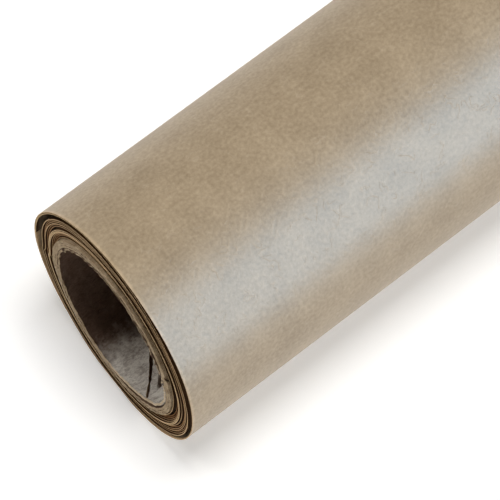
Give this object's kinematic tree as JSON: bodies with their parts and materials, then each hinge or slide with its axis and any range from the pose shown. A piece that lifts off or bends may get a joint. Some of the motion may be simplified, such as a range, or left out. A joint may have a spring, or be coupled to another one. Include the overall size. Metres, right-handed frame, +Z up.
{
  "type": "wrapping paper roll",
  "caption": "Roll of plain brown kraft wrapping paper on an open paperboard core, with a loose outer turn and a tail that lifts.",
  "frame": {"origin": "on the surface that the roll lies on, under the middle of its length", "axes": "+X along the roll's axis, +Z up, +Y to the side where the sheet's loose tail hangs"},
  "size_m": [0.7, 0.0499, 0.0493],
  "materials": {
    "kraft_paper": "satin",
    "core_board": "matte",
    "tape": "satin"
  },
  "bodies": {
    "outer_turn": {"outer_turn": "kraft_paper"},
    "tail_root": {"tail_root": "kraft_paper"},
    "tail_middle": {"tail_middle": "kraft_paper"},
    "tail_end": {"tail_end": "kraft_paper"},
    "outer_windings": {"outer_windings": "kraft_paper"},
    "inner_windings": {"inner_windings": "kraft_paper"},
    "core": {"core_inner_ply": "core_board", "core_second_ply": "core_board", "core_third_ply": "core_board", "core_outer_ply": "core_board", "start_tape": "tape", "first_turn": "kraft_paper"}
  },
  "joints": [
    {"name": "tail_lift", "type": "hinge", "parent": "outer_turn", "child": "tail_root", "pos_m": [0, 0.0249, 0.0265], "axis": [1, 0, 0], "range_deg": [0, 25], "stiffness_Nm_per_rad": 0.01},
    {"name": "tail_curl_middle", "type": "hinge", "parent": "tail_root", "child": "tail_middle", "pos_m": [0, 0.02433, 0.01856], "axis": [1, 0, 0], "range_deg": [0, 25], "stiffness_Nm_per_rad": 0.01},
    {"name": "tail_curl_end", "type": "hinge", "parent": "tail_middle", "child": "tail_end", "pos_m": [0, 0.02128, 0.0112], "axis": [1, 0, 0], "range_deg": [0, 25], "stiffness_Nm_per_rad": 0.01},
    {"name": "pack_turn", "type": "hinge", "parent": "outer_turn", "child": "outer_windings", "pos_m": [0, 0, 0.02432], "axis": [1, 0, 0], "range_deg": [-12, 12]},
    {"name": "windings_telescope", "type": "slide", "parent": "outer_windings", "child": "inner_windings", "axis": [1, 0, 0], "range_m": [-0.015, 0.015]},
    {"name": "core_telescope", "type": "slide", "parent": "inner_windings", "child": "core", "axis": [1, 0, 0], "range_m": [-0.015, 0.015]}
  ],
  "couplings": [
    {"joint": "tail_curl_middle", "follows": "tail_lift", "ratio": 1},
    {"joint": "tail_curl_end", "follows": "tail_lift", "ratio": 1},
    {"joint": "core_telescope", "follows": "windings_telescope", "ratio": 1}
  ]
}
